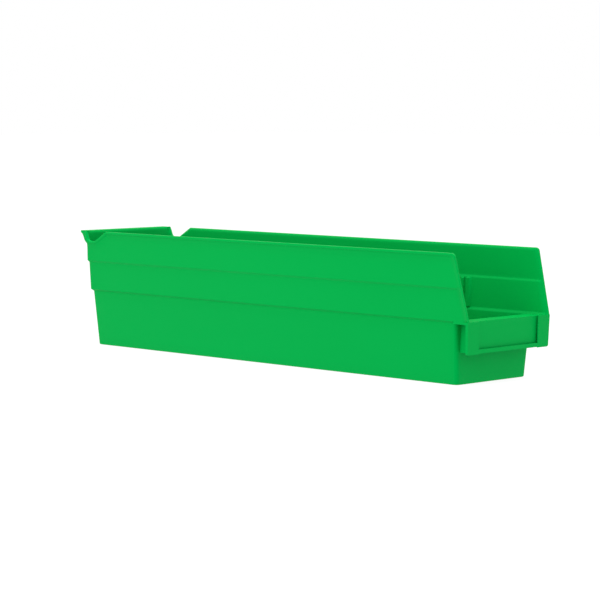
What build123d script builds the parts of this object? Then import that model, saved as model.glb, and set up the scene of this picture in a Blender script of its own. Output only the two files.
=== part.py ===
from build123d import *
from math import asin, atan2, cos, pi, radians, sin, tan
import os

# Shelf bin, one injection moulding divided where its panels meet.
# Millimetres. Front is -Y, up is +Z, the origin is under the middle of the bin.

# Overall sizes
overall_length = 454.0
overall_height = 101.6

# Moulding wall
wall = 2.1
floor_thickness = 2.4
corner_inner_radius = 2.5
front_corner_inner_radius = 0.9
foot_bevel = 0.9

# Walls at the top of the bin, before the rim turns out
top_half_width = 50.2
lip_reach = 7.3
panel_reach = 15.0

# The three tiers and the two ledges between them
shelf_height = 49.7
second_ledge_height = 75.4
first_ledge_width = 1.9
second_ledge_width = 1.2
ledge_rise_outside = 1.7
ledge_rise_inside = 2.2

# Drafts, degrees from vertical
lower_side_draft = 5.4
lower_front_draft = 3.0
lower_rear_draft = 2.5
middle_side_draft = 2.9
middle_rear_draft = 1.0
upper_draft = 0.6

# Mouth, where the side walls slope down to the label panel
mouth_slope = 13.8
mouth_flare_run = 5.5
mouth_corner_radius = 3.0
panel_inset = 1.0

# Rim that turns out along the edge of each side wall
rim_height = 6.8
rim_turn_out = 1.2
rim_land = 1.6
rim_edge_bevel = 0.4
rim_inner_bevel = 2.0
rim_steps = 3

# Notch between each side wall and the hang lip
notch_depth = 8.9
notch_chamfer_run = 15.0
notch_floor_run = 9.1
notch_back_lean = 3.4
notch_corner_radius = 4.0
notch_corner_steps = 5
notch_fade = 2.4
notch_clearance = 0.9

# Hang lip
lip_thickness = 2.1
lip_inset = 1.4
gusset_thickness = 2.1
gusset_drop = 11.0
gusset_foot_reach = 1.7
gusset_tip_land = 0.9

# Label panel
panel_bottom = 25.2
panel_lean = 1.7
panel_taper = 2.0
panel_plate = 1.7
card_slot = 1.4
rail_lip = 0.9
rail_width = 13.9
card_slot_depth = 2.5
stop_rail_height = 3.2
stop_slot_depth = 1.6
rail_drop = 0.5
panel_corner_radius = 1.6

# Divider guides, pairs of ribs on the middle tier
guide_pairs = 5
guide_pitch = 71.4
guide_gap = 2.7
guide_rib_width = 4.3
guide_rib_height = 2.2
guide_top_bevel = 1.2

# Derived positions
front_y = -overall_length / 2
rear_y = overall_length / 2
corner_radius = corner_inner_radius + wall
front_corner_radius = front_corner_inner_radius + wall
ledge_1_foot = shelf_height - ledge_rise_outside
ledge_2_foot = second_ledge_height - ledge_rise_outside
rim_foot = overall_height - rim_height
notch_floor = overall_height - notch_depth
rear_top = rear_y - lip_reach
front_top = front_y + panel_reach
panel_half_width = top_half_width - panel_inset
mouth_top_half_width = top_half_width + rim_turn_out
lip_half_width = top_half_width - lip_inset
card_half_width = panel_half_width - rail_width

# How far cutting shapes run past what they cut
clear = 2 * top_half_width
overrun = rim_height


def grow(angle, height):
    return tan(radians(angle)) * height


# Outer half width and outer rear face, from the top down
half_2_top = top_half_width - grow(upper_draft, overall_height - second_ledge_height)
half_2_foot = half_2_top - second_ledge_width
half_1_top = half_2_foot - grow(middle_side_draft, ledge_2_foot - shelf_height)
half_1_foot = half_1_top - first_ledge_width
half_base = half_1_foot - grow(lower_side_draft, ledge_1_foot)
rear_2_top = rear_top - grow(upper_draft, overall_height - second_ledge_height)
rear_2_foot = rear_2_top - second_ledge_width
rear_1_top = rear_2_foot - grow(middle_rear_draft, ledge_2_foot - shelf_height)
rear_1_foot = rear_1_top - first_ledge_width
rear_base = rear_1_foot - grow(lower_rear_draft, ledge_1_foot)
front_base = front_top + grow(lower_front_draft, ledge_1_foot)
front_cut = front_base + corner_radius
rear_cut = rear_base - corner_radius
notch_back = rear_2_top - corner_radius - notch_clearance
notch_top = notch_back - notch_floor_run - notch_chamfer_run
notch_slope = atan2(notch_depth, notch_chamfer_run)
notch_lean = atan2(notch_back_lean, notch_depth)
notch_split = notch_top - rim_height
notch_rim_foot = notch_floor - rim_height


def mouth_y(z):
    return front_y + grow(mouth_slope, z - shelf_height)


def mouth_half(z):
    share = (z - shelf_height) / (overall_height - shelf_height)
    return panel_half_width + (mouth_top_half_width - panel_half_width) * share


def rounded_plan(z, half, front, rear, front_radius, rear_radius):
    # Closed plan of the lower tier, with tighter corners at the front
    ahead = front + front_radius
    behind = rear - rear_radius
    front_side = half - front_radius
    rear_side = half - rear_radius
    edges = [
        Line((-front_side, front), (front_side, front)),
        CenterArc((front_side, ahead), front_radius, 270, 90),
        Line((half, ahead), (half, behind)),
        CenterArc((rear_side, behind), rear_radius, 0, 90),
        Line((rear_side, rear), (-rear_side, rear)),
        CenterArc((-rear_side, behind), rear_radius, 90, 90),
        Line((-half, behind), (-half, ahead)),
        CenterArc((-front_side, ahead), front_radius, 180, 90),
    ]
    return Pos(0, 0, z) * make_face(edges)


def open_plan(z, half, rear, radius, offset, reach):
    # Plan of the bin above the shelf, with both side walls flaring at the mouth
    tip = mouth_half(z) + offset
    front = mouth_y(z)
    side = half + offset
    bend = front + mouth_flare_run
    back = rear + offset
    edges = [
        Line((-tip, front - reach), (tip, front - reach)),
        Bezier((tip, front), (side, bend - mouth_flare_run / 2), (side, bend)),
        Line((side, bend), (side, back - radius)),
        TangentArc((side, back - radius), (side - radius, back), tangent=(0, 1)),
        Line((side - radius, back), (radius - side, back)),
        TangentArc((radius - side, back), (-side, back - radius), tangent=(-1, 0)),
        Line((-side, back - radius), (-side, bend)),
        Bezier((-side, bend), (-side, bend - mouth_flare_run / 2), (-tip, front)),
    ]
    if reach:
        edges.append(Line((tip, front - reach), (tip, front)))
        edges.append(Line((-tip, front), (-tip, front - reach)))
    return Pos(0, 0, z) * make_face(edges)


def stack(sections):
    return loft(sections, ruled=True)


def outer_plan(z, half, rear):
    return open_plan(z, half, rear, corner_radius, 0, 0)


def inner_plan(z, half, rear, turn_out=0):
    return open_plan(z, half, rear, corner_inner_radius + turn_out, turn_out - wall, 3.0)


def across(lines, x0, x1):
    # Outline drawn in (y, z) and run across the bin from x0 to x1
    face = Plane.YZ * make_face(lines)
    return Pos(x0, 0, 0) * extrude(face, amount=x1 - x0)


def side_prism(profile, x0, x1):
    return across([Polyline(*profile, close=True)], x0, x1)


def region(x0, x1, y0, y1, z0, z1):
    size = (x1 - x0, y1 - y0, z1 - z0)
    return Pos((x0 + x1) / 2, (y0 + y1) / 2, (z0 + z1) / 2) * Box(*size)


def lower_outside():
    # Foot, drafted lower tier and the first ledge
    foot = rounded_plan(0, half_base - foot_bevel, front_base + foot_bevel,
                        rear_base - foot_bevel, front_corner_radius - foot_bevel,
                        corner_radius - foot_bevel)
    share = foot_bevel / ledge_1_foot
    foot_half = half_base + (half_1_foot - half_base) * share
    foot_front = front_base + (front_top - front_base) * share
    foot_rear = rear_base + (rear_1_foot - rear_base) * share
    radii = (front_corner_radius, corner_radius)
    edge = rounded_plan(foot_bevel, foot_half, foot_front, foot_rear, *radii)
    under = rounded_plan(ledge_1_foot, half_1_foot, front_top, rear_1_foot, *radii)
    over = rounded_plan(shelf_height, half_1_top, front_top, rear_1_top, *radii)
    return stack([foot, edge, under, over])


def lower_inside():
    share = floor_thickness / shelf_height
    half = half_base + (half_1_foot - half_base) * share - wall
    front = front_base + (front_top - front_base) * share + wall
    rear = rear_base + (rear_1_foot - rear_base) * share - wall
    radii = (front_corner_inner_radius, corner_inner_radius)
    low = rounded_plan(floor_thickness, half, front, rear, *radii)
    high = rounded_plan(shelf_height, half_1_foot - wall, front_top + wall,
                        rear_1_foot - wall, *radii)
    return stack([low, high])


def rim_outside_steps():
    # Distance below the edge and how far the outer face has turned out there
    steps = []
    for step in range(rim_steps + 1):
        share = step / rim_steps
        below = rim_height - (rim_height - rim_land) * share
        steps.append((below, rim_turn_out * share ** 2))
    return steps


def rim_inside_steps():
    # The inner face stays straight and breaks away close to the edge
    return [
        (rim_inner_bevel, 0.0),
        (rim_inner_bevel * 0.45, rim_turn_out * 0.3),
        (0.0, rim_turn_out),
    ]


def upper_outside(rim):
    # Middle and upper tiers, with the rim turned out when it is asked for
    sections = [
        outer_plan(shelf_height, half_1_top, rear_1_top),
        outer_plan(ledge_2_foot, half_2_foot, rear_2_foot),
        outer_plan(second_ledge_height, half_2_top, rear_2_top),
    ]
    if not rim:
        return stack(sections + [outer_plan(overall_height, top_half_width, rear_top)])
    steps = rim_outside_steps()
    steps.append((rim_edge_bevel, rim_turn_out))
    steps.append((0.0, rim_turn_out - rim_edge_bevel))
    for below, turned in steps:
        half = top_half_width - grow(upper_draft, below) + turned
        sections.append(outer_plan(overall_height - below, half, rear_top))
    return stack(sections)


def upper_inside():
    ledge_1_top = shelf_height + ledge_rise_inside
    ledge_2_top = second_ledge_height + ledge_rise_inside
    sections = [
        inner_plan(shelf_height, half_1_foot, rear_1_foot),
        inner_plan(ledge_1_top, half_1_top, rear_1_top),
        inner_plan(second_ledge_height, half_2_foot, rear_2_foot),
        inner_plan(ledge_2_top, half_2_top, rear_2_top),
    ]
    for below, turned in rim_inside_steps():
        half = top_half_width - grow(upper_draft, below)
        sections.append(inner_plan(overall_height - below, half, rear_top, turned))
    return stack(sections)


def mouth_rounding():
    # Air outside the rounded top corner of the mouth
    corner = (mouth_y(overall_height), overall_height)
    half_angle = radians(90 + mouth_slope) / 2
    run = mouth_corner_radius / tan(half_angle)
    on_slope = (corner[0] - run * cos(radians(90 - mouth_slope)),
                corner[1] - run * cos(radians(mouth_slope)))
    on_top = (corner[0] + run, corner[1])
    over = (corner[0] - 2, corner[1] + 2)
    lines = [
        Polyline(on_slope, (over[0], on_slope[1]), over, (on_top[0], over[1]), on_top),
        TangentArc(on_top, on_slope, tangent=(-1, 0)),
    ]
    return across(lines, -clear, clear)


def notch_points(inset, stop=None):
    # The notch in (y, z), a distance inside its edge, up to y = stop or to its rear slope
    radius = notch_corner_radius
    fall = radius + cos(notch_slope) * (notch_depth - radius)
    first_y = notch_top + fall / sin(notch_slope)
    second_y = notch_back - radius * (1 - sin(notch_lean)) / cos(notch_lean)
    centre_z = notch_floor + radius
    far = radius + inset
    end = pi / 2 - notch_lean
    if stop is not None:
        end = asin((stop - second_y) / far)
    points = [(notch_top - inset * tan(notch_slope / 2), overall_height - inset)]
    for step in range(notch_corner_steps + 1):
        turn = notch_slope * (1 - step / notch_corner_steps)
        points.append((first_y - far * sin(turn), centre_z - far * cos(turn)))
    for step in range(notch_corner_steps + 1):
        turn = end * step / notch_corner_steps
        points.append((second_y + far * sin(turn), centre_z - far * cos(turn)))
    return points


def notch_air():
    rise = 1.0
    before = (notch_top - rise / tan(notch_slope), overall_height + rise)
    after = (notch_back + tan(notch_lean) * (notch_depth + rise), overall_height + rise)
    return side_prism([before] + notch_points(0)[1:] + [after], -clear, clear)


def below_edge(inset, top, stop=None):
    # Everything lower than the notch's edge, drawn in (y, z)
    low = notch_rim_foot - overrun
    start = notch_split - overrun
    points = notch_points(inset, stop)
    rear_top_point = (points[-1][0] + notch_back_lean * (stop is None), top)
    corners = [(start, points[0][1])] + points + [rear_top_point]
    return corners + [(rear_y, top), (rear_y, low), (start, low)]


def lofted(steps, top, stops):
    # Outlines stood up at growing distances from the side wall
    faces = []
    for inset, turned in steps:
        stop = notch_back - notch_fade * turned / rim_turn_out if stops else None
        outline = make_face(Polyline(*below_edge(inset, top, stop), close=True))
        faces.append(Pos(top_half_width + turned, 0, 0) * (Plane.YZ * outline))
    return stack(faces)


def notch_rim():
    # Side wall around the notch on the +X side, its edge turned out like the rim
    high = overall_height + overrun
    root = top_half_width - 3 * wall
    edge = top_half_width + rim_turn_out - rim_edge_bevel
    body = side_prism(below_edge(0, overall_height), root, edge)
    bevel = [(0.0, rim_turn_out - rim_edge_bevel), (rim_edge_bevel, rim_turn_out)]
    outside = body + lofted(bevel, overall_height, False)
    outside -= lofted(rim_outside_steps(), high, True)
    block = region(root, top_half_width + rim_turn_out, notch_split - overrun, rear_y,
                   notch_rim_foot - overrun, high)
    inside = block - lofted(rim_inside_steps(), high, True)
    web = outside - Pos(-wall, 0, 0) * inside
    hinge = Axis((top_half_width, 0, overall_height), (0, 1, 0))
    web = web.rotate(hinge, upper_draft)
    return web & region(0, clear, notch_split, notch_back, notch_rim_foot, overall_height)


def panel_y(z, depth):
    # Planes parallel to the leaning face of the label panel
    return front_y + depth / cos(radians(panel_lean)) + grow(panel_lean, shelf_height - z)


def panel_slab(depth0, depth1, z0, z1, x0, x1):
    profile = [
        (panel_y(z0, depth0), z0),
        (panel_y(z1, depth0), z1),
        (panel_y(z1, depth1), z1),
        (panel_y(z0, depth1), z0),
    ]
    return side_prism(profile, x0, x1)


def panel_outline(bottom):
    # Front view of the panel, narrower towards its rounded lower corners
    low = panel_half_width - grow(panel_taper, shelf_height - bottom)
    top = shelf_height + 1
    high = panel_half_width + grow(panel_taper, 1)
    corners = [(-high, top), (-low, bottom), (low, bottom), (high, top)]
    face = make_face(Polyline(*corners, close=True))
    face = fillet(face.vertices().sort_by(Axis.Y)[:2], panel_corner_radius)
    return extrude(Pos(0, front_top, 0) * (Plane.XZ * face), amount=clear)


rail_depth = rail_lip + card_slot
plate_back = rail_depth + panel_plate
web_inside = card_half_width + card_slot_depth
web_outside = web_inside + panel_plate
shelf_underside = shelf_height - wall


def label_panel():
    # Backing plate of the card recess, between the two webs
    return panel_slab(rail_depth, plate_back, panel_bottom, shelf_underside,
                      -web_outside, web_outside)


def front_wall_y(z):
    return front_base + (front_top - front_base) * z / ledge_1_foot


def panel_web():
    # Upright web behind the rail on the +X side, back to the front wall of the tub
    profile = [
        (panel_y(panel_bottom, plate_back), panel_bottom),
        (panel_y(shelf_underside, plate_back), shelf_underside),
        (front_wall_y(shelf_underside), shelf_underside),
        (front_wall_y(panel_bottom), panel_bottom),
    ]
    return side_prism(profile, web_inside, web_outside)


def label_rail():
    # Upright rail on the +X side, with the card slot behind its lip
    bottom = panel_bottom - rail_drop
    block = panel_slab(0, rail_depth, bottom, shelf_height, web_inside, panel_half_width)
    lip = panel_slab(0, rail_lip, bottom, shelf_height, card_half_width, web_inside)
    return (block + lip) & panel_outline(bottom)


def label_stop_rail():
    # Lower rail that the card stands on
    root = panel_bottom + stop_rail_height - stop_slot_depth
    top = panel_bottom + stop_rail_height
    reach = card_half_width
    block = panel_slab(0, rail_depth, panel_bottom, root, -reach, reach)
    lip = panel_slab(0, rail_lip, root, top, -reach, reach)
    return block + lip


def front_shelf(tub):
    # Level web from the front wall out to the label panel
    profile = [
        (panel_y(shelf_underside, plate_back), shelf_underside),
        (panel_y(shelf_underside, rail_depth), shelf_underside),
        (panel_y(shelf_height, rail_depth), shelf_height),
        (front_top + wall, shelf_height),
        (front_top + wall, shelf_underside),
    ]
    web = side_prism(profile, -half_1_top, half_1_top)
    ends = panel_slab(rail_depth, plate_back, shelf_underside, shelf_height,
                      -panel_half_width, panel_half_width)
    ring = tub & region(-clear, clear, front_y, front_cut, shelf_underside, shelf_height)
    return web + ends + ring


def divider_rib(y0):
    # One rib of a divider guide on the inside of the +X middle wall
    foot_z = shelf_height + ledge_rise_inside
    top_z = second_ledge_height
    foot_x = half_1_top - wall
    top_x = half_2_foot - wall
    points = [
        (foot_x + wall / 2, foot_z),
        (foot_x - guide_rib_height, foot_z),
        (top_x - guide_rib_height, top_z - guide_top_bevel),
        (top_x - guide_rib_height + guide_top_bevel, top_z),
        (top_x + wall / 2, top_z),
    ]
    face = make_face(Polyline(*[(x, y0, z) for x, z in points], close=True))
    return extrude(face, amount=guide_rib_width, dir=(0, 1, 0))


def divider_guides():
    first = -guide_pitch * (guide_pairs - 1) / 2
    ribs = []
    for index in range(guide_pairs):
        middle = first + index * guide_pitch
        ribs.append(divider_rib(middle + guide_gap / 2))
        ribs.append(divider_rib(middle - guide_gap / 2 - guide_rib_width))
    return ribs


def hang_lip(straight, hollow):
    # The flange together with the top of the rear wall that it grows from
    foot = overall_height - lip_thickness
    reach = lip_half_width
    top = straight & region(-reach, reach, notch_back, rear_y, foot, overall_height)
    root_y = rear_top - corner_radius
    flange = region(-reach, reach, root_y, rear_y, foot, overall_height)
    return top + (flange - hollow)


def lip_gusset():
    # Web under the +X end of the flange, hollowed in a long curve
    top = overall_height - lip_thickness
    foot = overall_height - gusset_drop
    foot_y = rear_top - grow(upper_draft, gusset_drop)
    root_y = foot_y - corner_radius
    tip = rear_y - gusset_tip_land
    step = (foot_y + gusset_foot_reach, foot + gusset_foot_reach)
    lines = [
        Polyline((tip, top), (root_y, top), (root_y, foot), (foot_y, foot), step),
        Bezier(
            step,
            (foot_y + lip_reach * 0.45, foot + gusset_drop * 0.25),
            (foot_y + lip_reach * 0.5, top - lip_thickness),
            (tip, top),
        ),
    ]
    web = across(lines, lip_half_width - gusset_thickness, lip_half_width)
    return web - upper_outside(False)


def build_parts():
    inside = upper_inside()
    notch = notch_air()
    lower = lower_outside() - lower_inside()
    straight = upper_outside(False) - inside - notch
    rimmed = upper_outside(True) - inside - mouth_rounding()
    lengthwise = (front_cut, rear_cut)
    rear_side = (rear_cut, rear_y)
    upper_rear = (notch_back, rear_y)
    flange_foot = overall_height - lip_thickness
    parts = {}
    parts["floor"] = lower & region(-clear, clear, front_y, rear_y, 0, floor_thickness)
    parts["front_wall"] = lower & region(
        -clear, clear, front_y, front_cut, floor_thickness, shelf_underside)
    parts["rear_lower_wall"] = lower & region(
        -clear, clear, *rear_side, floor_thickness, shelf_height)
    parts["rear_middle_wall"] = straight & region(
        -clear, clear, *rear_side, shelf_height, second_ledge_height)
    parts["rear_upper_wall"] = straight & region(
        -clear, clear, *upper_rear, second_ledge_height, flange_foot)
    parts["hang_lip"] = hang_lip(straight, inside + notch)
    parts["front_shelf"] = front_shelf(lower)
    parts["label_panel"] = label_panel()
    parts["label_stop_rail"] = label_stop_rail()
    right = {}
    right["lower_wall"] = lower & region(
        0, clear, *lengthwise, floor_thickness, shelf_height)
    middle = straight & region(
        0, clear, front_y - 1, rear_cut, shelf_height, second_ledge_height)
    right["middle_wall"] = middle + divider_guides()
    ahead = region(0, clear, front_y, notch_split, second_ledge_height, rim_foot)
    under = region(0, clear, notch_split, notch_back, second_ledge_height, notch_rim_foot)
    right["upper_wall"] = straight & (ahead + under)
    right["rim"] = rimmed & region(
        0, clear, front_y, notch_split, rim_foot, overall_height)
    right["notch_rim"] = notch_rim()
    right["label_rail"] = label_rail()
    right["panel_web"] = panel_web()
    right["lip_gusset"] = lip_gusset()
    for name, solid in right.items():
        parts["right_" + name] = solid
        parts["left_" + name] = mirror(solid, about=Plane.YZ)
    return parts


os.makedirs("parts", exist_ok=True)
for name, shape in build_parts().items():
    solids = shape.solids()
    if len(solids) != 1:
        raise ValueError(name + " has " + str(len(solids)) + " solids")
    solids[0].label = name
    export_step(solids[0], "parts/" + name + ".step")
    print(name, round(solids[0].volume, 1))
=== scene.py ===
# %% [markdown]
# # Shelf bin, dressed for the camera
# The real thing is one injection moulding in green polypropylene: a long narrow tub that
# stands on a shelf, with a low label panel in front and a small hook along the back.
# Blender only gives it looks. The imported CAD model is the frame: metres, front at -Y,
# up is +Z, and the origin lies under the middle of the bin.

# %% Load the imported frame
import bmesh
import bpy
from math import atan2, cos, pi, radians, sin, sqrt, tan
from mathutils import Matrix, Vector


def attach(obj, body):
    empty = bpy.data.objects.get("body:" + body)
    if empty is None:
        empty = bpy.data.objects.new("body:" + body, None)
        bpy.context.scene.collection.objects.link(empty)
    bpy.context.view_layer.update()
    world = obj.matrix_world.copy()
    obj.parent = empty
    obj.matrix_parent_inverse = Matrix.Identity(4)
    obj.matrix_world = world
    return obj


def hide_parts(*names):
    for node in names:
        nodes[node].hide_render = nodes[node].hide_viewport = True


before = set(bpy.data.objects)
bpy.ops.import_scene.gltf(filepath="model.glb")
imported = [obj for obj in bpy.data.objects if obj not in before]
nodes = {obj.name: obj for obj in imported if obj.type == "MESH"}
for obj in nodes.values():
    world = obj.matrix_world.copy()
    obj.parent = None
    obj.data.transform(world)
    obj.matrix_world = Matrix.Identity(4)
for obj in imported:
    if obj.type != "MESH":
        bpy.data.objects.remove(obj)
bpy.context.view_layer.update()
MM = 0.001

# %% [markdown]
# ## Green polypropylene
# Moulded polypropylene is a satin plastic with the colour all the way through. It isn't
# perfectly even: pigment streaks a little where the melt flowed, the steel mould leaves a
# fine grain, and handling polishes or scuffs small patches. One flat colour would look
# like paint, so noise on Object coordinates drives colour, roughness and a faint bump.
# Object coordinates are used because every piece sits at the origin, so the pattern runs
# on from one piece to the next without a seam.

# %% A helper that adds a shader node and sets its sockets
def add_node(tree, kind, place, **settings):
    node = tree.nodes.new(kind)
    node.location = place
    for name, value in settings.items():
        if hasattr(node, name):
            setattr(node, name, value)
        else:
            node.inputs[name.replace("_", " ").title()].default_value = value
    return node


# %% The plastic and its sizes
# scales are in waves per metre, the grain's depth in metres
PIGMENT = (0.0, 0.356, 0.056, 1.0)
PIGMENT_DEEP = (0.0, 0.338, 0.052, 1.0)
FLOW_PER_METRE, FLOW_STRETCH = 22.0, (1.0, 0.35, 1.0)
SCUFF_PER_METRE, SCUFF_FROM, SCUFF_TO = 260.0, 0.3, 0.7
GRAIN_PER_METRE, GRAIN_DEPTH, GRAIN_STRENGTH = 1500.0, 0.00006, 0.12
SMOOTHEST, ROUGHEST = 0.42, 0.54
REFRACTION = 1.49
REFLECTION, REFLECTION_TINT = 0.06, (0.0, 1.0, 1.0, 1.0)


def satin_polypropylene(name, deep, pale):
    plastic = bpy.data.materials.new(name)
    plastic.use_nodes = True
    tree = plastic.node_tree
    tree.nodes.clear()
    place = add_node(tree, "ShaderNodeTexCoord", (-1400, 0))
    stretch = add_node(tree, "ShaderNodeMapping", (-1200, 200), Scale=FLOW_STRETCH)
    flow = add_node(tree, "ShaderNodeTexNoise", (-1000, 300),
                    Scale=FLOW_PER_METRE, Detail=4.0, Roughness=0.55, Distortion=0.6)
    blend = add_node(tree, "ShaderNodeMix", (-500, 300), data_type="RGBA")
    blend.inputs["A"].default_value = deep
    blend.inputs["B"].default_value = pale
    scuff = add_node(tree, "ShaderNodeTexNoise", (-1000, 0),
                     Scale=SCUFF_PER_METRE, Detail=3.0, Roughness=0.6)
    gloss = add_node(tree, "ShaderNodeMapRange", (-500, 0), clamp=True,
                     From_Min=SCUFF_FROM, From_Max=SCUFF_TO,
                     To_Min=SMOOTHEST, To_Max=ROUGHEST)
    grain = add_node(tree, "ShaderNodeTexNoise", (-1000, -300),
                     Scale=GRAIN_PER_METRE, Detail=2.0, Roughness=0.5)
    bump = add_node(tree, "ShaderNodeBump", (-500, -300),
                    Strength=GRAIN_STRENGTH, Distance=GRAIN_DEPTH)
    shader = add_node(tree, "ShaderNodeBsdfPrincipled", (-150, 100))
    shader.inputs["IOR"].default_value = REFRACTION
    shader.inputs["Specular IOR Level"].default_value = REFLECTION
    shader.inputs["Specular Tint"].default_value = REFLECTION_TINT
    out = add_node(tree, "ShaderNodeOutputMaterial", (200, 100))
    link = tree.links.new
    link(place.outputs["Object"], stretch.inputs["Vector"])
    link(stretch.outputs["Vector"], flow.inputs["Vector"])
    link(place.outputs["Object"], scuff.inputs["Vector"])
    link(place.outputs["Object"], grain.inputs["Vector"])
    link(flow.outputs["Fac"], blend.inputs["Factor"])
    link(blend.outputs["Result"], shader.inputs["Base Color"])
    link(scuff.outputs["Fac"], gloss.inputs["Value"])
    link(gloss.outputs["Result"], shader.inputs["Roughness"])
    link(grain.outputs["Fac"], bump.inputs["Height"])
    link(bump.outputs["Normal"], shader.inputs["Normal"])
    link(shader.outputs["BSDF"], out.inputs["Surface"])
    return plastic


green = satin_polypropylene("green_polypropylene", PIGMENT_DEEP, PIGMENT)
for node in nodes.values():
    node.data.materials.clear()
    node.data.materials.append(green)
print("Finish:", green.name, "on", len(nodes), "CAD nodes")

# %% [markdown]
# ## The tub
# On the real bin floor, walls, rim and hook are one moulding, about 2 mm thick. Each wall
# leans out a little, so that the part leaves its mould, and steps out twice on the way up,
# which gives the two ledges. Its top edge is turned out like a hem, and the hem runs on
# through the notch beside the hook.
# A Geometry Nodes sweep would need one profile all the way round, but front, sides and rear
# lean by different amounts and the edge dips. So the tub is a grid made in plain Python:
# each column is a place along the plan, each row is a height, and a small rule says how far
# the hem turns out from the distance to the edge.

# %% Sizes of the walls, in millimetres
HEIGHT = 101.6
WALL = 2.1
FLOOR = 2.4
SHELF = 49.7
FRONT, REAR = -227.0, 227.0
REAR_RADIUS, FRONT_RADIUS = 4.6, 3.0

# height, half width, y of the rear face and y of the front face, all on the outside
FOOT = (0.0, 41.07, 213.81, -209.48)
LOWER_TOP = (48.0, 45.61, 215.91, -212.0)
MIDDLE_FOOT = (49.7, 47.51, 217.81, -212.0)
MIDDLE_TOP = (73.7, 48.73, 218.23, -212.0)
UPPER_FOOT = (75.4, 49.93, 219.43, -212.0)
UPPER_TOP = (101.6, 50.2, 219.7, -212.0)
CORNER_START = UPPER_TOP[2] - REAR_RADIUS
print("Walls from", 2 * FOOT[1], "mm wide at the foot to", 2 * UPPER_TOP[1], "mm under the hem")

# %% [markdown]
# A moulded ledge has no sharp edges. In section it is a soft S: the wall curves over into
# the ledge, the ledge slopes, and it curves up into the next wall. The slope is what
# catches the light from above.

# %% Wall sections with S-shaped ledges
LOWER_LEDGE, LOWER_RISE = 48.7, 3.0
UPPER_LEDGE, UPPER_RISE = 74.7, 2.4


def curved_step(low, high, rise, steps=8):
    # Rows from one wall to the next: in line with the wall at both ends, sloping between
    rows = []
    for step in range(steps + 1):
        share = step / steps
        across = share * share * (3 - 2 * share)
        place = [a + (b - a) * across for a, b in zip(low[1:], high[1:])]
        rows.append([low[0] + rise * share] + place)
    return rows


def row_at(rows, z):
    # Half width, rear face and front face at a height, between the two nearest rows
    for low, high in zip(rows, rows[1:]):
        if z <= high[0] + 1e-9:
            share = (z - low[0]) / (high[0] - low[0])
            return [a + (b - a) * share for a, b in zip(low[1:], high[1:])]
    return list(rows[-1][1:])


def inset(row, z=None):
    # The inner face of a wall, at the height of its outer face or at another
    return (row[0] if z is None else z, row[1] - WALL, row[2] - WALL, row[3] + WALL)


outer_steps = [list(row) for row in (FOOT, LOWER_TOP, MIDDLE_FOOT,
                                     MIDDLE_TOP, UPPER_FOOT, UPPER_TOP)]
inner_steps = [list(inset(FOOT))]
inner_steps += curved_step(inset(LOWER_TOP, LOWER_LEDGE), inset(MIDDLE_FOOT), LOWER_RISE)
inner_steps += curved_step(inset(MIDDLE_TOP, UPPER_LEDGE), inset(UPPER_FOOT), UPPER_RISE)
inner_steps.append(list(inset(UPPER_TOP)))
print("Inner section has", len(inner_steps), "rows, outer section", len(outer_steps))

# %% [markdown]
# The edge of each side wall, drawn as seen from the side: it rises up the slope of the
# mouth, runs level, drops down a chamfer into the notch and climbs its steep rear side to
# the hook. Arcs of 4 mm soften the bottom of the notch.

# %% The edge seen from the side
MOUTH_SLOPE = tan(radians(13.8))
MOUTH_RADIUS = 3.8
NOTCH_TOP, NOTCH_BACK, NOTCH_DEPTH = 189.83, 213.93, 8.9
CHAMFER_RUN, NOTCH_LEAN, NOTCH_RADIUS = 15.0, 3.4, 4.0


def mouth_y(z):
    return FRONT + MOUTH_SLOPE * (z - SHELF)


def notch_line(steps=8):
    slope = atan2(NOTCH_DEPTH, CHAMFER_RUN)
    lean = atan2(NOTCH_LEAN, NOTCH_DEPTH)
    floor = HEIGHT - NOTCH_DEPTH
    first = NOTCH_TOP + (NOTCH_RADIUS + cos(slope) * (NOTCH_DEPTH - NOTCH_RADIUS)) / sin(slope)
    second = NOTCH_BACK - NOTCH_RADIUS * (1 - sin(lean)) / cos(lean)
    line = [(NOTCH_TOP, HEIGHT)]
    for step in range(steps + 1):
        turn = slope * (1 - step / steps)
        line.append((first - NOTCH_RADIUS * sin(turn), floor + NOTCH_RADIUS * (1 - cos(turn))))
    for step in range(steps + 1):
        turn = (pi / 2 - lean) * step / steps
        line.append((second + NOTCH_RADIUS * sin(turn), floor + NOTCH_RADIUS * (1 - cos(turn))))
    line.append((NOTCH_BACK + NOTCH_LEAN, HEIGHT))
    return line


notch = notch_line()


def edge_height(y):
    if y <= notch[0][0] or y >= notch[-1][0]:
        return HEIGHT
    for (y0, z0), (y1, z1) in zip(notch, notch[1:]):
        if y <= y1:
            return z0 + (z1 - z0) * (y - y0) / max(y1 - y0, 1e-6)
    return HEIGHT


def mouth_top(u):
    # Height where the column that starts u behind the mouth edge meets the rounded corner
    centre_z = HEIGHT - MOUTH_RADIUS
    centre_u = MOUTH_RADIUS * sqrt(1 + MOUTH_SLOPE ** 2)
    if mouth_y(HEIGHT) + u >= mouth_y(centre_z) + centre_u:
        return HEIGHT
    # along the column, z = centre_z + rise and y - centre_y = u - centre_u + slope * rise
    a = 1 + MOUTH_SLOPE ** 2
    b = MOUTH_SLOPE * (u - centre_u)
    c = (u - centre_u) ** 2 - MOUTH_RADIUS ** 2
    return centre_z + (-b + sqrt(max(b * b - a * c, 0.0))) / a


print("Notch line of", len(notch), "points; mouth corner starts at", round(mouth_top(0), 2), "mm")


# %% [markdown]
# The hem, in section from the field of the wall up to the edge: the outer face swings out
# in a hollow, steps out sharply to a narrow upright band and rounds over. The inner face
# stays straight and breaks away in a bright bevel just under the edge. The numbers are the
# distance from the edge and how far the face has moved out.

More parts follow.
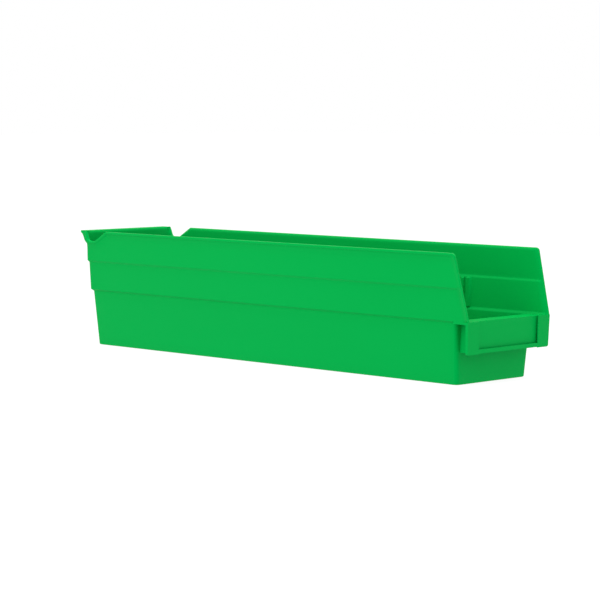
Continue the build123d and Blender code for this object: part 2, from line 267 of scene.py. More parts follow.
# %% The section of the hem
HEM_OUTSIDE = [(8.8, 0.0), (7.4, 0.04), (6.0, 0.13), (4.8, 0.25), (3.8, 0.38), (3.0, 0.51),
               (2.5, 0.6), (2.3, 0.63), (2.22, 0.65), (2.18, 0.9), (2.12, 1.14), (2.0, 1.19),
               (1.8, 1.2), (0.5, 1.2), (0.3, 1.16), (0.14, 1.05), (0.04, 0.9), (0.0, 0.7)]
HEM_INSIDE = [(2.4, 0.0), (1.9, 0.06), (1.4, 0.2), (0.9, 0.42), (0.5, 0.66), (0.2, 0.9),
              (0.06, 1.05), (0.0, 1.2)]


def turned_out(section, distance):
    if distance >= section[0][0]:
        return 0.0
    for (d0, t0), (d1, t1) in zip(section, section[1:]):
        if distance >= d1:
            return t1 + (t0 - t1) * (distance - d1) / (d0 - d1)
    return section[-1][1]


def distance_to(line, s, z):
    # Shortest way from a point to the edge line, with s along the wall and z upwards
    best = 1e9
    for (s0, z0), (s1, z1) in zip(line, line[1:]):
        ds, dz = s1 - s0, z1 - z0
        span = ds * ds + dz * dz
        share = 0.0 if span < 1e-12 else ((s - s0) * ds + (z - z0) * dz) / span
        share = min(1.0, max(0.0, share))
        gap = (s - s0 - ds * share) ** 2 + (z - z0 - dz * share) ** 2
        best = min(best, gap)
    return sqrt(best)


print("The hem turns out", max(out for _, out in HEM_OUTSIDE), "mm")

# %% [markdown]
# Columns of the upper walls. Beside the mouth they lean with its slope, farther back they
# stand upright, and they crowd together in the notch, where the edge is steep. Each one is
# a kind and a number: y for the side wall, an angle for the rear corner, x for the rear.

# %% Places of the columns, in millimetres
# along Y: how far behind the mouth edge, then first, last and pitch of each stretch
MOUTH_STARTS = (0.0, 0.12, 0.3, 0.6, 1.0, 1.5, 2.1, 2.7, 3.3, 3.9, 4.7, 5.7,
                7.0, 9.0, 12.0, 17.0, 24.0, 34.0)
LEVEL_STRETCH = (-170.0, 182.0, 11.0)
NEAR_NOTCH = (184.0, 187.0, 189.0, NOTCH_TOP)
NOTCH_PITCH = 0.8
CLIMB_STRETCH = (211.2, 215.0, 0.25)
# along X, on the rear wall
REAR_PLACES = (44.0, 40.0, 34.0, 26.0, 18.0, 9.0, 0.0)
REAR_HALF = UPPER_TOP[1] - REAR_RADIUS


# %% Columns from the mouth to the middle of the rear wall
def paced(start, end, pitch):
    # Values one pitch apart, from the start to just before the end
    values = []
    while start < end:
        values.append(start)
        start += pitch
    return values


def quarter_turn(kind, steps):
    return [(kind, radians(90) * step / steps) for step in range(steps + 1)]


def columns():
    row = [("mouth", u) for u in MOUTH_STARTS]
    row += [("side", y) for y in paced(*LEVEL_STRETCH)]
    row += [("side", y) for y in NEAR_NOTCH]
    row += [("side", y) for y in paced(NOTCH_TOP + NOTCH_PITCH, CLIMB_STRETCH[0], NOTCH_PITCH)]
    row += [("side", y) for y in paced(*CLIMB_STRETCH)]
    return row + quarter_turn("corner", 24) + [("rear", x) for x in REAR_PLACES]


upper_columns = columns()
print(len(upper_columns), "columns on each side")

# %% Where a column stands in the plan
# how far behind the mouth its lean stays whole, and over how much more it fades
LEAN_KEPT, LEAN_FADES = 6.0, 32.0
# the mouth edge has its own half width at the shelf and is wider by the flare at the top;
# the wall swings over to it within TIP_RUN
TIP_RUN, TIP_HALF, TIP_FLARE = 5.5, 49.2, 2.2


def plan_place(column, half, rear, radius, z, tip):
    # x, y of a column on a face with this half width, rear face and corner radius
    kind, number = column
    if kind == "mouth":
        # the lean of the mouth fades out behind it, and its edge swings to the tip
        fade = max(0.0, 1.0 - max(0.0, number - LEAN_KEPT) / LEAN_FADES)
        y = mouth_y(HEIGHT) + number + (mouth_y(z) - mouth_y(HEIGHT)) * fade
        bend = max(0.0, 1.0 - number / TIP_RUN) ** 2
        return half + (tip - half) * bend, y
    if kind == "side":
        # the last columns move with the corner, which lies farther forward lower down
        tail = max(0.0, number - NEAR_NOTCH[0]) / (CORNER_START - NEAR_NOTCH[0])
        return half, number + (rear - radius - CORNER_START) * tail
    if kind == "corner":
        return half - radius * (1 - cos(number)), rear - radius * (1 - sin(number))
    return number * min(1.0, (half - radius) / REAR_HALF), rear


def mouth_tip(z):
    # Half width at the edge of the mouth, which flares towards the top
    return TIP_HALF + TIP_FLARE * (z - SHELF) / (HEIGHT - SHELF)


def along(column, radius, y):
    # How far a column is along the wall, round the corner included
    kind, number = column
    if kind == "corner":
        return CORNER_START + radius * number
    if kind == "rear":
        return CORNER_START + radius * pi / 2 + (REAR_HALF - number)
    return y


# %% [markdown]
# Every column now gets its points: up the outer face, over the edge and down the inner
# face. The tops of the columns are themselves the edge line, so the hem rule measures from
# them. The far half of the tub is the same list with x turned round.

# %% Rows of a column and the edge above it
# drops are distances under the edge: those of the section and a few in the plain wall
FIELD_ROWS = 10
HEM_DROPS = sorted([distance for distance, _ in HEM_OUTSIDE] + [1.1], reverse=True)
BEVEL_DROPS = [8.8, 6.0, 3.4] + [distance for distance, _ in HEM_INSIDE]


def heights(low_rows, top, drops):
    # The section's own rows, an even field above them, and the hem's rows under the edge
    fixed = [row[0] for row in low_rows if row[0] < HEIGHT - 1]
    last = fixed[-1]
    field = [last + (top - drops[0] - last) * (i + 1) / FIELD_ROWS for i in range(FIELD_ROWS)]
    return fixed + field + [top - drop for drop in drops[1:]]


def column_tops(side_rows, radius, shift):
    # How far along the wall each column is, and how high the edge is there
    half, rear, _ = row_at(side_rows, HEIGHT)
    tops = []
    for column in upper_columns:
        _, y = plan_place(column, half, rear, radius, HEIGHT, mouth_tip(HEIGHT) - shift)
        top = mouth_top(column[1]) if column[0] == "mouth" else edge_height(y)
        tops.append((along(column, radius, y), top))
    return tops


# %% Points of every column of a face
# the hook begins at this angle of the rear corner; the hem fades out over HOOK_FADE
# beside it and leaves out the band under the top that meets the hook
HOOK_ANGLE = radians(46)
HOOK_FADE, HOOK_BAND = 2.0, 1.5
# columns on each side of one that are searched for the nearest piece of edge
NEARBY = 40
# the mouth edge is rounded over this run, by this much
EDGE_RUN, EDGE_SOFT = 0.6, 0.45


def face_points(side_rows, drops, section, radius, shift, outside):
    tops = column_tops(side_rows, radius, shift)
    # the outer face has no hem where the hook grows out of it
    hooked = [kind == "rear" or (kind == "corner" and number > HOOK_ANGLE)
              for kind, number in upper_columns]
    edge = [top for top, hook in zip(tops, hooked) if not (hook and outside)]
    points = []
    for number, column in enumerate(upper_columns):
        line = []
        place, top = tops[number]
        near = edge[max(0, number - NEARBY):number + NEARBY + 1] or edge[-2:]
        for z in heights(side_rows, top, drops):
            half, rear, _ = row_at(side_rows, z)
            out = turned_out(section, distance_to(near, place, z))
            if hooked[number] and outside:
                out *= max(0.0, 1.0 - (place - edge[-1][0]) / HOOK_FADE)
                if z > HEIGHT - HOOK_BAND:
                    out = 0.0
            grown = radius + (0 if outside else out)
            x, y = plan_place(column, half + out, rear + out, grown, z, mouth_tip(z) - shift)
            if column[0] == "mouth":
                # the standing edge of the mouth is rounded too
                back_off = max(0.0, 1.0 - column[1] / EDGE_RUN)
                soft = EDGE_SOFT * (1 - sqrt(max(0.0, 1 - back_off ** 2)))
                x += -soft if outside else soft
            line.append((x, y, z))
        points.append(line)
    return points


upper_outer_rows = [row for row in outer_steps if row[0] >= SHELF]
upper_inner_rows = [[SHELF] + row_at(inner_steps, SHELF)]
upper_inner_rows += [row for row in inner_steps if row[0] > SHELF + 0.05]
outer_points = face_points(upper_outer_rows, HEM_DROPS, HEM_OUTSIDE,
                           REAR_RADIUS, 0.0, True)
inner_points = face_points(upper_inner_rows, BEVEL_DROPS, HEM_INSIDE,
                           REAR_RADIUS - WALL, WALL, False)
print("Rows:", len(outer_points[0]), "outside,", len(inner_points[0]), "inside")


# %% Mesh helpers that every piece uses
SMOOTH_BELOW = 32  # degrees between two faces that are still shaded as one
MERGE = 1e-7  # metres


def ring_of(skin, points):
    return [skin.verts.new(Vector(point) * MM) for point in points]


def join_rings(skin, rings):
    # Faces all the way round between each ring of points and the next
    count = len(rings[0])
    for one, two in zip(rings, rings[1:]):
        for i in range(count):
            j = (i + 1) % count
            skin.faces.new((one[i], one[j], two[j], two[i]))


def finish_mesh(name, skin, smooth_below=SMOOTH_BELOW, weigh=False):
    bmesh.ops.recalc_face_normals(skin, faces=skin.faces)
    open_edges = sum(1 for edge in skin.edges if len(edge.link_faces) != 2)
    mesh = bpy.data.meshes.new(name)
    skin.to_mesh(mesh)
    skin.free()
    mesh.materials.append(green)
    mesh.shade_smooth()
    mesh.set_sharp_from_angle(angle=radians(smooth_below))
    piece = bpy.data.objects.new(name, mesh)
    bpy.context.scene.collection.objects.link(piece)
    if weigh:
        # the large flat faces keep their own normals and the small round ones blend
        blend = piece.modifiers.new("blend", "WEIGHTED_NORMAL")
        blend.mode = "FACE_AREA"
        blend.weight = 100
        blend.keep_sharp = True
        graph = bpy.context.evaluated_depsgraph_get()
        piece.data = bpy.data.meshes.new_from_object(piece.evaluated_get(graph))
        piece.modifiers.remove(blend)
    print(name, "has", len(mesh.polygons), "faces and", open_edges, "open edges")
    return piece


def dress(piece, *names):
    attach(piece, "root")
    if names:
        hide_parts(*names)


# %% The upper walls, as one closed skin from two grids of points
def mirrored(columns_of_points):
    other = [[(-x, y, z) for x, y, z in line] for line in columns_of_points[:-1]]
    return other + columns_of_points[::-1]


def zip_ends(skin, one, two):
    # Fills the end between two lines of points of different length, lowest point first
    i = j = 0
    while i < len(one) - 1 or j < len(two) - 1:
        if i < len(one) - 1 and (j == len(two) - 1 or one[i + 1].co.z <= two[j + 1].co.z):
            corners = (one[i], one[i + 1], two[j])
            i += 1
        else:
            corners = (one[i], two[j + 1], two[j])
            j += 1
        skin.faces.new(corners)


def closed_wall(name, outside, inside):
    # Each column becomes one ring of points: up outside and down inside
    skin = bmesh.new()
    rings = [ring_of(skin, up + down[::-1]) for up, down in zip(outside, inside)]
    join_rings(skin, rings)
    turn = len(outside[0])
    for ring in (rings[0], rings[-1]):
        zip_ends(skin, ring[:turn], ring[turn:][::-1])
    bmesh.ops.remove_doubles(skin, verts=skin.verts, dist=MERGE)
    bmesh.ops.dissolve_degenerate(skin, edges=skin.edges, dist=MERGE)
    return finish_mesh(name, skin)


upper = closed_wall("upper_walls", mirrored(outer_points), mirrored(inner_points))

# %% [markdown]
# The lower tier is the same kind of grid, but its plan closes round the front, its top is
# the flat rim that the front shelf grows from, and its inner face rounds into the floor.

# %% Columns and rows of the lower tier
FRONT_PLACES, BACK_PLACES = (0.0, 12.0, 24.0, 36.0), (34.0, 17.0, 0.0)
LOW_STRETCH = (-200.0, 206.0, 14.0)
# height and inset of the round edge under the foot, and of the one on the floor
FOOT_ROUND = [(0.0, 0.9), (0.12, 0.5), (0.34, 0.2), (0.62, 0.05), (0.9, 0.0)]
FLOOR_ROUND = [(0.0, 1.6), (0.12, 1.0), (0.47, 0.47), (1.0, 0.12), (1.6, 0.0)]
OUTER_HEIGHTS = (6.0, 16.0, 28.0, 40.0, 47.6, 48.0, 49.3, 49.7)
INNER_HEIGHTS = (10.0, 24.0, 38.0, 48.7, 49.1, 49.4, 49.6, 49.7)


def lower_columns():
    row = [("front", x) for x in FRONT_PLACES] + quarter_turn("bow", 8)
    row += [("side", y) for y in paced(*LOW_STRETCH)]
    return row + quarter_turn("corner", 12) + [("rear", x) for x in BACK_PLACES]


def lower_place(column, half, rear, front, bow, radius):
    kind, number = column
    if kind == "front":
        return number, front
    if kind == "bow":
        return half - bow * (1 - sin(number)), front + bow * (1 - cos(number))
    if kind == "side":
        return half, number
    if kind == "corner":
        return half - radius * (1 - cos(number)), rear - radius * (1 - sin(number))
    return number, rear


def lower_face(rows, heights_and_insets, bow, radius):
    points = []
    for column in lower_places:
        line = []
        for z, pull in heights_and_insets:
            half, rear, front = row_at(rows, z)
            x, y = lower_place(column, half - pull, rear - pull, front + pull, bow, radius)
            line.append((x, y, z))
        points.append(line)
    return points


lower_places = lower_columns()
outside_levels = FOOT_ROUND + [(z, 0.0) for z in OUTER_HEIGHTS]
inside_levels = [(FLOOR + z, pull) for z, pull in FLOOR_ROUND]
inside_levels += [(z, 0.0) for z in INNER_HEIGHTS]
lower_outer = lower_face(outer_steps, outside_levels, FRONT_RADIUS, REAR_RADIUS)
lower_inner = lower_face(inner_steps, inside_levels, FRONT_RADIUS - WALL, REAR_RADIUS - WALL)
for line, column in zip(lower_inner, lower_places):
    if column[0] == "front":
        # only the front wall shows its inner top edge, which is rounded
        for number, pull in ((-3, 0.05), (-2, 0.2), (-1, 0.5)):
            x, y, z = line[number]
            line[number] = (x, y - pull, z)
print("Lower tier:", len(lower_places), "columns on each side")


# %% The lower tier as one closed skin with its floor
def closed_tub(name, outside, inside):
    # The rings follow each other all the way round, and the underside and the upper side
    # of the floor close their two ends
    skin = bmesh.new()
    rings = [ring_of(skin, up + down[::-1]) for up, down in zip(outside, inside)]
    for one, two in zip(rings, rings[1:] + rings[:1]):
        for i in range(len(one) - 1):
            skin.faces.new((one[i], one[i + 1], two[i + 1], two[i]))
    skin.faces.new([ring[0] for ring in rings])
    skin.faces.new([ring[-1] for ring in rings])
    bmesh.ops.remove_doubles(skin, verts=skin.verts, dist=MERGE)
    return finish_mesh(name, skin)


def all_round(columns_of_points):
    # Front middle, round one side to the rear middle, and back along the other side
    other = [[(-x, y, z) for x, y, z in line] for line in columns_of_points[1:-1]]
    return columns_of_points + other[::-1]


lower = closed_tub("lower_tub", all_round(lower_outer), all_round(lower_inner))
dress(lower, "floor", "front_wall", "rear_lower_wall", "right_lower_wall", "left_lower_wall")
dress(upper, "rear_middle_wall", "rear_upper_wall", "right_middle_wall", "left_middle_wall",
      "right_upper_wall", "left_upper_wall", "right_rim", "left_rim",
      "right_notch_rim", "left_notch_rim")

# %% [markdown]
# ## The hook along the back
# The hook is a flat tongue that grows out of the top of the rear wall, with a small curved
# web under each end. It could be one mesh drawn by hand, but it is easier to read as two
# sections, the plain tongue and the tongue with its web, each drawn out sideways into a
# bar. A Boolean union then makes one skin of the bars. The top lies a hair under the
# wall's top, so that the two flat faces never fight for the same place.

# %% Bars drawn out along X from a section in y and z
def cover_bar(skin, rings):
    join_rings(skin, rings)
    skin.faces.new(rings[0])
    skin.faces.new(rings[-1])


def bar(skin, section, x0, x1):
    cover_bar(skin, [ring_of(skin, [(x, y, z) for y, z in section]) for x in (x0, x1)])


def solid(name, fill):
    skin = bmesh.new()
    fill(skin)
    bmesh.ops.recalc_face_normals(skin, faces=skin.faces)
    mesh = bpy.data.meshes.new(name)
    skin.to_mesh(mesh)
    skin.free()
    piece = bpy.data.objects.new(name, mesh)
    bpy.context.scene.collection.objects.link(piece)
    return piece


# %% Union and round edges
# edges that turn more than CREASE are rounded by EDGE_ROUND millimetres; the three small
# lengths, in metres, say which specks of the union and the bevel are cleared away
EDGE_ROUND = 0.3
CREASE = radians(35)
FLAT = radians(1.0)
CLEAN_UNION, CLEAN_BEVEL, THINNEST = 2e-6, 1e-5, 1e-6
SMOOTH_ROUNDS = 60  # degrees


def united(name, parts):
    group = bpy.data.collections.new(name + "_parts")
    bpy.context.scene.collection.children.link(group)
    for part in parts[1:]:
        group.objects.link(part)
    join = parts[0].modifiers.new("join", "BOOLEAN")
    join.operation = "UNION"
    join.solver = "EXACT"
    join.operand_type = "COLLECTION"
    join.collection = group
    graph = bpy.context.evaluated_depsgraph_get()
    mesh = bpy.data.meshes.new_from_object(parts[0].evaluated_get(graph))
    for part in parts:
        bpy.data.objects.remove(part)
    bpy.data.collections.remove(group)
    skin = bmesh.new()
    skin.from_mesh(mesh)
    bmesh.ops.remove_doubles(skin, verts=skin.verts, dist=CLEAN_UNION)
    bmesh.ops.dissolve_limit(skin, angle_limit=FLAT, verts=skin.verts, edges=skin.edges)
    sharp = [edge for edge in skin.edges
             if len(edge.link_faces) == 2 and edge.calc_face_angle(0) > CREASE]
    bmesh.ops.bevel(skin, geom=sharp, offset=EDGE_ROUND * MM, offset_type="OFFSET",
                    segments=2, profile=0.5, affect="EDGES", clamp_overlap=True)
    bmesh.ops.remove_doubles(skin, verts=skin.verts, dist=CLEAN_BEVEL)
    bmesh.ops.dissolve_degenerate(skin, edges=skin.edges, dist=THINNEST)
    return finish_mesh(name, skin, SMOOTH_ROUNDS, True)


# %% The two sections of the hook
HOOK_TOP, HOOK_LOW = HEIGHT - 0.02, HEIGHT - 2.1
HOOK_HALF, TONGUE_ROOT, TONGUE_SOFT = 48.8, 218.6, 0.6
WEB_THICK, WEB_FOOT, WEB_ROOT = 2.1, HEIGHT - 11.0, 217.2
# the hollow curve of the web, as y and z, from the wall to the underside of the tongue
WEB_WALL = (219.6, WEB_FOOT)
WEB_CURVE = [Vector((221.3, WEB_FOOT + 1.7)), Vector((222.9, WEB_FOOT + 2.8)),
             Vector((223.2, HOOK_LOW - 2.1)), Vector((REAR - 0.9, HOOK_LOW))]


def tongue_tip(steps=4):
    # The rounded end of the tongue, from its underside to its top
    low_arc, high_arc = [], []
    for step in range(steps + 1):
        turn = pi / 2 * step / steps
        near, far = TONGUE_SOFT * (1 - sin(turn)), TONGUE_SOFT * (1 - cos(turn))
        low_arc.append((REAR - near, HOOK_LOW + far))
        high_arc.append((REAR - far, HOOK_TOP - near))
    return low_arc + high_arc


def hollow_underside(steps=10):
    # A Bezier curve through the first and last of its four points
    line = [WEB_WALL]
    for step in range(steps):
        t = step / steps
        weights = ((1 - t) ** 3, 3 * (1 - t) ** 2 * t, 3 * (1 - t) * t * t, t ** 3)
        spot = sum((w * p for w, p in zip(weights, WEB_CURVE)), Vector((0.0, 0.0)))
        line.append(spot.to_tuple())
    return line


tongue = [(TONGUE_ROOT, HOOK_LOW)] + tongue_tip() + [(TONGUE_ROOT, HOOK_TOP)]
webbed = [(WEB_ROOT, WEB_FOOT)] + hollow_underside() + tongue_tip() + [(WEB_ROOT, HOOK_TOP)]
inner_end = HOOK_HALF - WEB_THICK
overlap = 0.2
hook = united("hang_hook", [
    solid("tongue", lambda s: bar(s, tongue, -inner_end - overlap, inner_end + overlap)),
    solid("web_end", lambda s: bar(s, webbed, -HOOK_HALF, -inner_end)),
    solid("web_end", lambda s: bar(s, webbed, inner_end, HOOK_HALF)),
])
dress(hook, "hang_lip", "right_lip_gusset", "left_lip_gusset")

# %% [markdown]
# ## The front shelf and the label panel
# A level web runs forward from the front wall to a small panel with a card recess: a plate
# set back between two upright rails and a stop rail, each with a thin lip in front of the
# slot that holds the card. Two webs brace the panel from behind. One mesh by hand would
# hide these sizes in a list of corners, so each piece is a simple bar. The union makes one
# skin of them, and its bevel gives the small round edges of the mould.

# %% Depths behind the leaning face of the panel
# SUNK is how far the braces and the stop rail go into the plate behind its face
PANEL_LEAN, PANEL_TAPER = radians(1.7), radians(2.0)
PANEL_BOTTOM, PANEL_HALF = 25.2, 49.2
RECESS, PLATE, PLATE_HALF = 2.3, 1.7, 39.5
LIP, CARD_HALF, SLOT = 0.9, 35.3, 2.5
SHELF_TOP, SHELF_LOW = SHELF - 0.02, SHELF - WALL
SUNK = 0.5


def panel_y(z, depth):
    return FRONT + depth / cos(PANEL_LEAN) + tan(PANEL_LEAN) * (SHELF - z)


def leaning(depth, z0, z1):
    # Two points of a section, at one depth behind the face of the panel
    return [(panel_y(z0, depth), z0), (panel_y(z1, depth), z1)]


# %% Sections of the front, each a closed line of points in y and z
WALL_SIDE = -211.0
WEB_DEPTH = 2.9
STOP_TOP, STOP_SILL, STOP_HALF = PANEL_BOTTOM + 3.2, 26.8, 36.5
wall_y = FOOT[3] + (LOWER_TOP[3] - FOOT[3]) * PANEL_BOTTOM / LOWER_TOP[0]
web_section = ([(WALL_SIDE, SHELF_LOW), (WALL_SIDE, SHELF_TOP)]
               + leaning(WEB_DEPTH, SHELF_TOP, SHELF_LOW))
plate_section = (leaning(RECESS, PANEL_BOTTOM, SHELF_TOP)
                 + [(WALL_SIDE, SHELF_TOP), (WALL_SIDE, SHELF_LOW)]
                 + leaning(RECESS + PLATE, SHELF_LOW, PANEL_BOTTOM))
brace = (leaning(RECESS + SUNK, PANEL_BOTTOM, SHELF_TOP - SUNK)
         + [(WALL_SIDE - 0.2, SHELF_TOP - SUNK), (wall_y + 0.8, PANEL_BOTTOM)])
stop_section = (leaning(0, PANEL_BOTTOM, STOP_TOP) + leaning(LIP, STOP_TOP, STOP_SILL)
                + leaning(RECESS + SUNK, STOP_SILL, PANEL_BOTTOM))
ear_section = (leaning(RECESS - 0.4, SHELF_LOW, SHELF_TOP)
               + leaning(RECESS + PLATE, SHELF_TOP, SHELF_LOW))
print("The panel leans back", round(panel_y(PANEL_BOTTOM, 0) - FRONT, 2), "mm at its foot")

# %% The rails beside the card
RAIL_BOTTOM, RAIL_CORNER, RAIL_BACK = PANEL_BOTTOM - 0.5, 1.6, RECESS + 0.05


def rail(skin, hand, steps=5):
    # Plan of the rail, carried up the panel; its outer side follows the taper and the corner
    slot_end = CARD_HALF + SLOT
    levels = [RAIL_BOTTOM + RAIL_CORNER * (1 - cos(radians(90) * step / steps))
              for step in range(steps + 1)]
    rings = []
    for z in levels + [SHELF_TOP]:
        drop = max(0.0, RAIL_CORNER - (z - RAIL_BOTTOM))
        outer = PANEL_HALF - tan(PANEL_TAPER) * (SHELF - z)
        outer -= RAIL_CORNER - sqrt(max(0.0, RAIL_CORNER ** 2 - drop ** 2))
        plan = [(outer, 0.0), (outer, RAIL_BACK), (slot_end, RAIL_BACK),
                (slot_end, LIP), (CARD_HALF, LIP), (CARD_HALF, 0.0)]
        rings.append(ring_of(skin, [(hand * x, panel_y(z, depth), z) for x, depth in plan]))
    cover_bar(skin, rings)


# %% The front as one skin
WEB_INNER, WEB_OUTER = 39.0, 47.51
EAR_INNER, BRACE_INNER = 46.3, 37.8

pieces = [
    solid("plate_and_web", lambda s: bar(s, plate_section, -PLATE_HALF, PLATE_HALF)),
    solid("stop_rail", lambda s: bar(s, stop_section, -STOP_HALF, STOP_HALF)),
]
for hand in (-1, 1):
    pieces += [
        solid("side_web", lambda s: bar(s, web_section, hand * WEB_INNER, hand * WEB_OUTER)),
        solid("ear", lambda s: bar(s, ear_section, hand * EAR_INNER, hand * PANEL_HALF)),
        solid("rail", lambda s: rail(s, hand)),
        solid("brace", lambda s: bar(s, brace, hand * BRACE_INNER, hand * PLATE_HALF)),
    ]
print("The front is a union of", len(pieces), "bars")
label_front = united("label_front", pieces)
dress(label_front, "front_shelf", "label_panel", "label_stop_rail", "right_label_rail",
      "left_label_rail", "right_panel_web", "left_panel_web")

# %% [markdown]
# ## Divider ribs
# Pairs of upright ribs stand on the inside of the middle tier, so that a divider slides in
# between them. They repeat at one pitch along both walls, which is work for Geometry Nodes:
# one rib is modelled, the tree mirrors it into a pair, copies the pair along a line and
# mirrors the row to the other wall. Mirroring turns faces inside out, so each mirror is
# followed by Flip Faces.

# %% One rib, with a sloped top and small round edges
RIB_FOOT, RIB_TOP = 51.4, 75.1
RIB_HIGH, RIB_SLOPE, RIB_SUNK = 1.7, 0.9, 0.9
# Place along the wall and how far out of it. The side towards the slot stands straight,
# and the other side slopes into the wall.
RIB_SECTION = ((0.0, -RIB_SUNK), (0.0, RIB_HIGH - 0.4), (0.12, RIB_HIGH - 0.12),
               (0.4, RIB_HIGH), (2.6, RIB_HIGH), (3.0, RIB_HIGH - 0.1),
               (3.4, RIB_HIGH - 0.4), (4.9, 0.0), (4.9, -RIB_SUNK))


def one_rib():
    skin = bmesh.new()
    low_x = row_at(inner_steps, RIB_FOOT + 1.0)[0]
    high_x = row_at(inner_steps, RIB_TOP - 0.7)[0]
    rings = []
    for y, out in RIB_SECTION:
        top_out = out if out < 0 else max(0.0, out - RIB_SLOPE)
        rings.append(ring_of(skin, [(low_x - out, y, RIB_FOOT),
                                    (high_x - out, y, RIB_TOP - RIB_SLOPE),
                                    (high_x - top_out, y, RIB_TOP)]))
    for one, two in zip(rings, rings[1:]):
        for i in range(2):
            skin.faces.new((one[i], one[i + 1], two[i + 1], two[i]))
    skin.faces.new(rings[0] + rings[-1][::-1])
    skin.faces.new([ring[0] for ring in rings])
    skin.faces.new([ring[-1] for ring in rings])
    return finish_mesh("divider_ribs", skin)


rib = one_rib()


# %% Helpers that add nodes to the tree and give back the socket that leaves them
def worked_out(tree, kind, one, two):
    node = tree.nodes.new("ShaderNodeMath")
    node.operation = kind
    for socket, value in zip(node.inputs, (one, two)):
        if isinstance(value, float):
            socket.default_value = value
        else:
            tree.links.new(value, socket)
    return node.outputs[0]


def along_y(tree, value):
    vector = tree.nodes.new("ShaderNodeCombineXYZ")
    tree.links.new(value, vector.inputs["Y"])
    return vector.outputs[0]


def passed_through(tree, kind, geometry):
    node = tree.nodes.new(kind)
    tree.links.new(geometry, node.inputs[0])
    return node.outputs[0]


def moved(tree, geometry, y):
    move = tree.nodes.new("GeometryNodeTransform")
    tree.links.new(geometry, move.inputs["Geometry"])
    tree.links.new(along_y(tree, y), move.inputs["Translation"])
    return move.outputs[0]


def turned_over(tree, geometry, scale):
    flip = tree.nodes.new("GeometryNodeTransform")
    flip.inputs["Scale"].default_value = scale
    tree.links.new(geometry, flip.inputs["Geometry"])
    return passed_through(tree, "GeometryNodeFlipFaces", flip.outputs[0])


def joined(tree, one, two):
    join = tree.nodes.new("GeometryNodeJoinGeometry")
    tree.links.new(one, join.inputs[0])
    tree.links.new(two, join.inputs[0])
    return join.outputs[0]


# %% The tree that repeats the rib
# Number of pairs on a wall, then the pitch and the gap between two ribs, in metres
RIB_SIZES = (("Pairs", "NodeSocketInt", 5), ("Pitch", "NodeSocketFloat", 0.0714),
             ("Gap", "NodeSocketFloat", 0.0027))


def rib_tree():
    tree = bpy.data.node_groups.new("paired_divider_ribs", "GeometryNodeTree")
    face, sockets = tree.interface, {}
    face.new_socket("Rib", in_out="INPUT", socket_type="NodeSocketGeometry")
    for name, kind, value in RIB_SIZES:
        socket = face.new_socket(name, in_out="INPUT", socket_type=kind)
        socket.default_value = value
        sockets[name] = socket.identifier
    face.new_socket("Ribs", in_out="OUTPUT", socket_type="NodeSocketGeometry")
    given = tree.nodes.new("NodeGroupInput").outputs

    half_gap = worked_out(tree, "DIVIDE", given["Gap"], 2.0)
    rear_rib = moved(tree, given["Rib"], half_gap)
    front_rib = moved(tree, turned_over(tree, given["Rib"], (1.0, -1.0, 1.0)),
                      worked_out(tree, "MULTIPLY", half_gap, -1.0))
    pair = joined(tree, rear_rib, front_rib)

    spans = worked_out(tree, "SUBTRACT", given["Pairs"], 1.0)
    length = worked_out(tree, "MULTIPLY", spans, given["Pitch"])
    line = tree.nodes.new("GeometryNodeMeshLine")
    tree.links.new(given["Pairs"], line.inputs["Count"])
    tree.links.new(along_y(tree, worked_out(tree, "MULTIPLY", length, -0.5)),
                   line.inputs["Start Location"])
    tree.links.new(along_y(tree, given["Pitch"]), line.inputs["Offset"])
    copies = tree.nodes.new("GeometryNodeInstanceOnPoints")
    tree.links.new(line.outputs[0], copies.inputs["Points"])
    tree.links.new(pair, copies.inputs["Instance"])

    row = passed_through(tree, "GeometryNodeRealizeInstances", copies.outputs[0])
    both = joined(tree, row, turned_over(tree, row, (-1.0, 1.0, 1.0)))
    paint = tree.nodes.new("GeometryNodeSetMaterial")
    paint.inputs["Material"].default_value = green
    tree.links.new(passed_through(tree, "GeometryNodeRealizeInstances", both),
                   paint.inputs["Geometry"])
    tree.links.new(paint.outputs[0], tree.nodes.new("NodeGroupOutput").inputs[0])
    return tree, sockets


# %% All the ribs as one plain mesh
tree, sockets = rib_tree()
repeat = rib.modifiers.new("repeat", "NODES")
repeat.node_group = tree
for name, _, value in RIB_SIZES:
    repeat[sockets[name]] = value
graph = bpy.context.evaluated_depsgraph_get()
rib_mesh = bpy.data.meshes.new_from_object(rib.evaluated_get(graph))
rib.modifiers.remove(repeat)
rib.data = rib_mesh
rib_mesh.set_sharp_from_angle(angle=radians(SMOOTH_BELOW))
dress(rib)
print("Divider ribs:", len(rib_mesh.polygons), "faces")

# %% [markdown]
# ## Floor, light and camera
# The bin is a catalogue subject: white all round, very soft light, a little stronger from
# the left and above, so that the side wall is brighter than the front and the inside
# stays readable. One strong lamp would give hard shadows, so a bright sky gives the white,
# and two large soft lamps, one at the left and one overhead, give the form. The floor is a
# wide pale sheet, which isn't part of the bin.

# %% The pale floor
SHEET_REACH = 12.0
PAPER, PAPER_GLOW = (0.12, 0.12, 0.12, 1.0), 0.92
WHITE = (1.0, 1.0, 1.0, 1.0)


def pale_floor():
    sheet = bmesh.new()
    bmesh.ops.create_grid(sheet, x_segments=8, y_segments=8, size=SHEET_REACH)
    mesh = bpy.data.meshes.new("studio_floor")
    sheet.to_mesh(mesh)
    sheet.free()
    floor = bpy.data.objects.new("studio_floor", mesh)
    bpy.context.scene.collection.objects.link(floor)
    paper = bpy.data.materials.new("studio_paper")
    paper.use_nodes = True
    shader = paper.node_tree.nodes["Principled BSDF"]
    for name, value in (("Base Color", PAPER), ("Emission Color", WHITE),
                        ("Emission Strength", PAPER_GLOW), ("Roughness", 0.9),
                        ("Specular IOR Level", 0.0)):
        shader.inputs[name].default_value = value
    mesh.materials.append(paper)
    return floor


pale_floor()

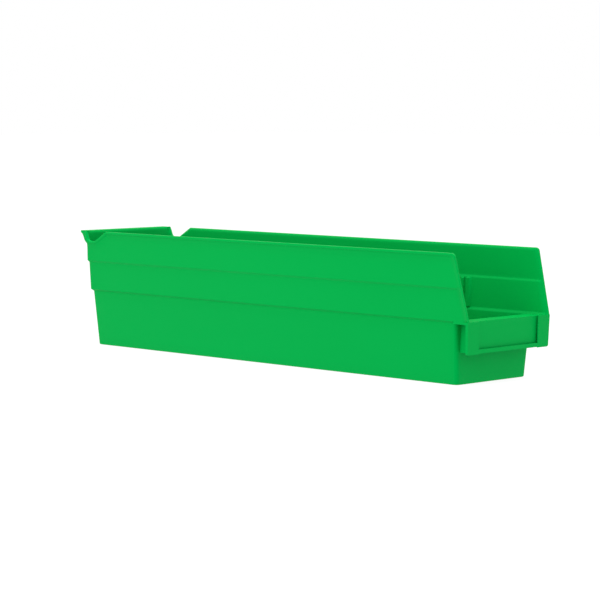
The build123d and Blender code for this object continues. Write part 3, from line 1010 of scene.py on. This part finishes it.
# %% The white sky
SKY = 1.0
world = bpy.data.worlds.new("white_studio")
world.use_nodes = True
background = world.node_tree.nodes["Background"]
background.inputs["Color"].default_value = WHITE
background.inputs["Strength"].default_value = SKY
bpy.context.scene.world = world
bpy.context.scene.view_settings.view_transform = "Standard"

# %% Soft lamps
LAMP_AIM = Vector((0.0, 0.0, 0.05))


def soft_lamp(name, place, size, watts):
    lamp = bpy.data.lights.new(name, "AREA")
    lamp.shape = "SQUARE"
    lamp.size = size
    lamp.energy = watts
    holder = bpy.data.objects.new(name, lamp)
    holder.location = place
    holder.rotation_euler = (LAMP_AIM - Vector(place)).to_track_quat("-Z", "Y").to_euler()
    bpy.context.scene.collection.objects.link(holder)
    print(name, "is", size, "m wide and gives", watts, "W")


soft_lamp("left_softbox", (-2.6, 0.2, 1.6), 2.4, 26)
soft_lamp("top_softbox", (0.0, 0.0, 2.6), 1.8, 50)

# %% [markdown]
# The camera stands as it did for the picture: far off with a long lens, a little above the
# bin, turned 45 degrees to its front left. The numbers come from matching the corners of
# the bin in the picture with the same corners of the model.

# %% The camera
AZIMUTH, ELEVATION, ROLL = radians(-45.188), radians(4.877), radians(0.0955)
LENS_PIXELS = 2260.04
FRAME_PIXELS = 600
SENSOR_WIDTH = 36.0
OFFSET = Vector((-1.591, -49.821, 1899.514)) * MM
FRAME_ORIGIN = Vector((0, 2.0, 0)) * MM

back = Vector((sin(AZIMUTH) * cos(ELEVATION), -cos(AZIMUTH) * cos(ELEVATION), sin(ELEVATION)))
level = (-back).cross(Vector((0, 0, 1))).normalized()
upright = level.cross(-back)
side = cos(ROLL) * level + sin(ROLL) * upright
top = cos(ROLL) * upright - sin(ROLL) * level
eye = -(OFFSET.x * side + OFFSET.y * top - OFFSET.z * back) + FRAME_ORIGIN

lens = bpy.data.cameras.new("catalogue_camera")
lens.sensor_width = SENSOR_WIDTH
lens.lens = LENS_PIXELS / FRAME_PIXELS * SENSOR_WIDTH
lens.clip_start, lens.clip_end = 0.1, 100.0
camera = bpy.data.objects.new("catalogue_camera", lens)
camera.matrix_world = Matrix.Translation(eye) @ Matrix((side, top, back)).transposed().to_4x4()
bpy.context.scene.collection.objects.link(camera)
bpy.context.scene.camera = camera
print("Camera at", [round(c, 4) for c in eye], "lens", round(lens.lens, 2), "mm")
